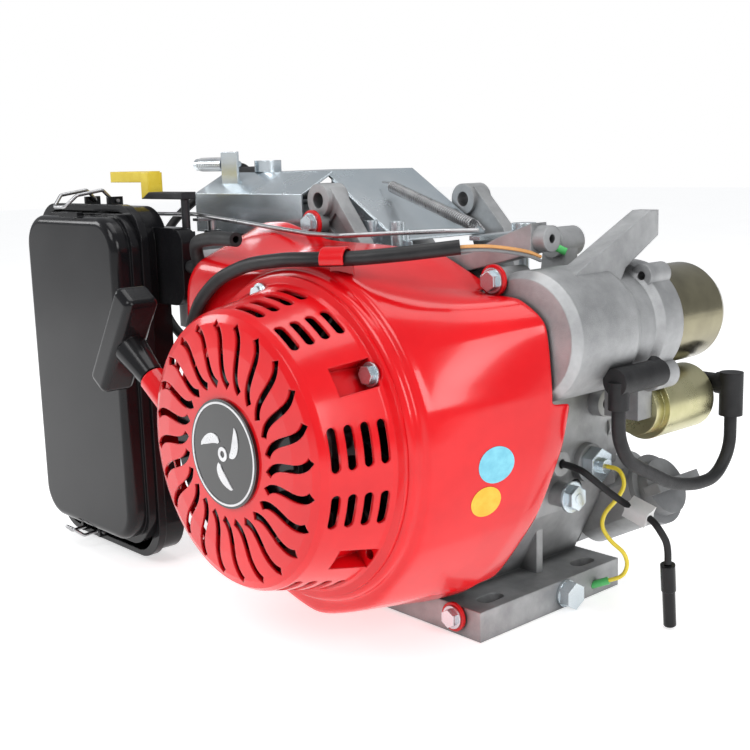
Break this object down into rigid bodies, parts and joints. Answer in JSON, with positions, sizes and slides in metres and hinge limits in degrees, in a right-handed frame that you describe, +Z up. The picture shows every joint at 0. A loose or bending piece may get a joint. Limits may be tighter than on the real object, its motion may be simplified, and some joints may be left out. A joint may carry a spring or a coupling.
{
  "type": "small gasoline engine",
  "caption": "Air-cooled single-cylinder petrol engine for a generator, with recoil and electric starter, side air cleaner, sloped cylinder and tapered output shaft.",
  "frame": {"origin": "centre of the four base slots, on the underside of the base", "axes": "+X to the right seen from the recoil starter, +Y towards the output shaft, +Z up"},
  "size_m": [0.492, 0.3694, 0.3],
  "materials": {
    "red_paint": "gloss",
    "cast_aluminium": "satin",
    "steel": "satin",
    "zinc_plated": "bright",
    "dark_steel": "satin",
    "black_plastic": "satin",
    "grey_plastic": "satin",
    "yellow_plastic": "gloss",
    "badge_black": "gloss",
    "black_rubber": "matte",
    "cable_sleeve": "satin",
    "rope": "woven",
    "filter_foam": "open",
    "yellow_wire": "satin",
    "starter_can": "metallic",
    "solenoid_zinc": "yellow passivated",
    "green_plastic": "gloss"
  },
  "bodies": {
    "engine": {"crankcase": "cast_aluminium", "side_cover": "cast_aluminium", "cylinder_head": "cast_aluminium", "rocker_cover": "dark_steel", "case_bolts": "zinc_plated", "fan_shroud": "red_paint", "recoil_housing": "red_paint", "recoil_badge": "badge_black", "shroud_bolts": "zinc_plated", "ignition_coil": "black_plastic", "spark_plug": "steel", "plug_cap": "black_rubber", "ht_lead": "black_rubber", "airbox_base": "black_plastic", "airbox_cover": "black_plastic", "air_filter": "filter_foam", "carburettor": "cast_aluminium", "fuel_hose": "black_rubber", "control_bracket": "zinc_plated", "head_shield": "zinc_plated", "top_plate": "zinc_plated", "top_brackets": "cast_aluminium", "starter_nose": "cast_aluminium", "starter_can": "starter_can", "solenoid": "solenoid_zinc", "starter_cable": "black_rubber", "terminal_boots": "black_rubber", "oil_level_switch": "zinc_plated", "switch_wire": "yellow_wire", "wire_terminal": "green_plastic", "tagged_lead": "black_rubber", "lead_connector": "black_plastic", "harness_sleeve": "cable_sleeve", "main_bearings": "steel", "piston": "cast_aluminium", "wrist_pin": "steel", "pushrods": "steel", "valve_springs": "steel", "recoil_rope": "rope", "governor_spring": "steel"},
    "crank": {"crankshaft": "steel", "flywheel": "steel", "cooling_fan": "black_plastic", "starter_cup": "steel"},
    "con_rod": {"connecting_rod": "cast_aluminium"},
    "cam": {"camshaft": "steel"},
    "handle": {"recoil_handle": "black_plastic"},
    "reel": {"recoil_reel": "black_plastic"},
    "inlet_rocker": {"intake_rocker": "steel"},
    "outlet_rocker": {"exhaust_rocker": "steel"},
    "inlet_valve": {"intake_valve": "steel"},
    "outlet_valve": {"exhaust_valve": "steel"},
    "pinion": {"starter_pinion": "steel"},
    "governor_arm": {"governor_lever": "zinc_plated"},
    "governor_link": {"governor_rod": "steel"},
    "throttle_shaft": {"throttle": "steel"},
    "choke": {"choke_lever": "yellow_plastic"},
    "oil_cap": {"filler_cap": "grey_plastic"},
    "upper_bail": {"clip_top": "steel"},
    "lower_bail": {"clip_bottom": "steel"}
  },
  "joints": [
    {"name": "crank_spin", "type": "hinge", "parent": "engine", "child": "crank", "pos_m": [0.0375, 0, 0.1316], "axis": [0, 1, 0], "continuous": true},
    {"name": "rod_turn", "type": "hinge", "parent": "crank", "child": "con_rod", "pos_m": [0.0085, 0, 0.14512], "axis": [0, 1, 0], "continuous": true},
    {"name": "cam_spin", "type": "hinge", "parent": "engine", "child": "cam", "pos_m": [-0.02188, 0, 0.09088], "axis": [0, 1, 0], "continuous": true},
    {"name": "recoil_pull", "type": "slide", "parent": "engine", "child": "handle", "axis": [-0.8359, 0, 0.5489], "range_m": [0, 0.7], "stiffness_N_per_m": 12, "springref_m": -0.3, "deforming": ["recoil_rope"]},
    {"name": "reel_turn", "type": "hinge", "parent": "engine", "child": "reel", "pos_m": [0.0375, 0, 0.1316], "axis": [0, 1, 0], "range_deg": [0, 803]},
    {"name": "inlet_rocker_turn", "type": "hinge", "parent": "engine", "child": "inlet_rocker", "pos_m": [-0.20036, -0.017, 0.20831], "axis": [0, 1, 0], "range_deg": [0, 13.2]},
    {"name": "inlet_valve_slide", "type": "slide", "parent": "engine", "child": "inlet_valve", "axis": [0.9063, 0, -0.4226], "range_m": [0, 0.007], "deforming": ["valve_springs"]},
    {"name": "outlet_rocker_turn", "type": "hinge", "parent": "engine", "child": "outlet_rocker", "pos_m": [-0.20036, 0.017, 0.20831], "axis": [0, 1, 0], "range_deg": [0, 13.2]},
    {"name": "outlet_valve_slide", "type": "slide", "parent": "engine", "child": "outlet_valve", "axis": [0.9063, 0, -0.4226], "range_m": [0, 0.007]},
    {"name": "pinion_slide", "type": "slide", "parent": "engine", "child": "pinion", "axis": [0, -1, 0], "range_m": [0, 0.016]},
    {"name": "governor_turn", "type": "hinge", "parent": "engine", "child": "governor_arm", "pos_m": [0.07, 0.02, 0.242], "axis": [0, 0, 1], "range_deg": [0, 18], "deforming": ["governor_spring"]},
    {"name": "link_slide", "type": "slide", "parent": "engine", "child": "governor_link", "axis": [1, 0, 0], "range_m": [0, 0.0164]},
    {"name": "throttle_turn", "type": "hinge", "parent": "engine", "child": "throttle_shaft", "pos_m": [-0.14388, -0.076, 0.22059], "axis": [0, 0, 1], "range_deg": [0, 67]},
    {"name": "choke_turn", "type": "hinge", "parent": "engine", "child": "choke", "pos_m": [-0.14388, -0.098, 0.22059], "axis": [0, 0, 1], "range_deg": [0, 60]},
    {"name": "oil_cap_lift", "type": "slide", "parent": "engine", "child": "oil_cap", "axis": [0.8848, 0, 0.4659], "range_m": [0, 0.024]},
    {"name": "upper_bail_turn", "type": "hinge", "parent": "engine", "child": "upper_bail", "pos_m": [-0.22, -0.119, 0.267], "axis": [1, 0, 0], "range_deg": [-95, 0]},
    {"name": "lower_bail_turn", "type": "hinge", "parent": "engine", "child": "lower_bail", "pos_m": [-0.241, -0.137, 0.012], "axis": [1, 0, 0], "range_deg": [0, 30]}
  ],
  "couplings": [
    {"joint": "rod_turn", "follows": "crank_spin", "ratio": -1},
    {"joint": "cam_spin", "follows": "crank_spin", "ratio": -0.5},
    {"joint": "reel_turn", "follows": "recoil_pull", "rad_per_m": 20},
    {"joint": "inlet_rocker_turn", "follows": "inlet_valve_slide", "rad_per_m": 32.26},
    {"joint": "outlet_rocker_turn", "follows": "outlet_valve_slide", "rad_per_m": 32.26},
    {"joint": "link_slide", "follows": "governor_turn", "m_per_rad": 0.052},
    {"joint": "throttle_turn", "follows": "governor_turn", "ratio": 3.7}
  ]
}
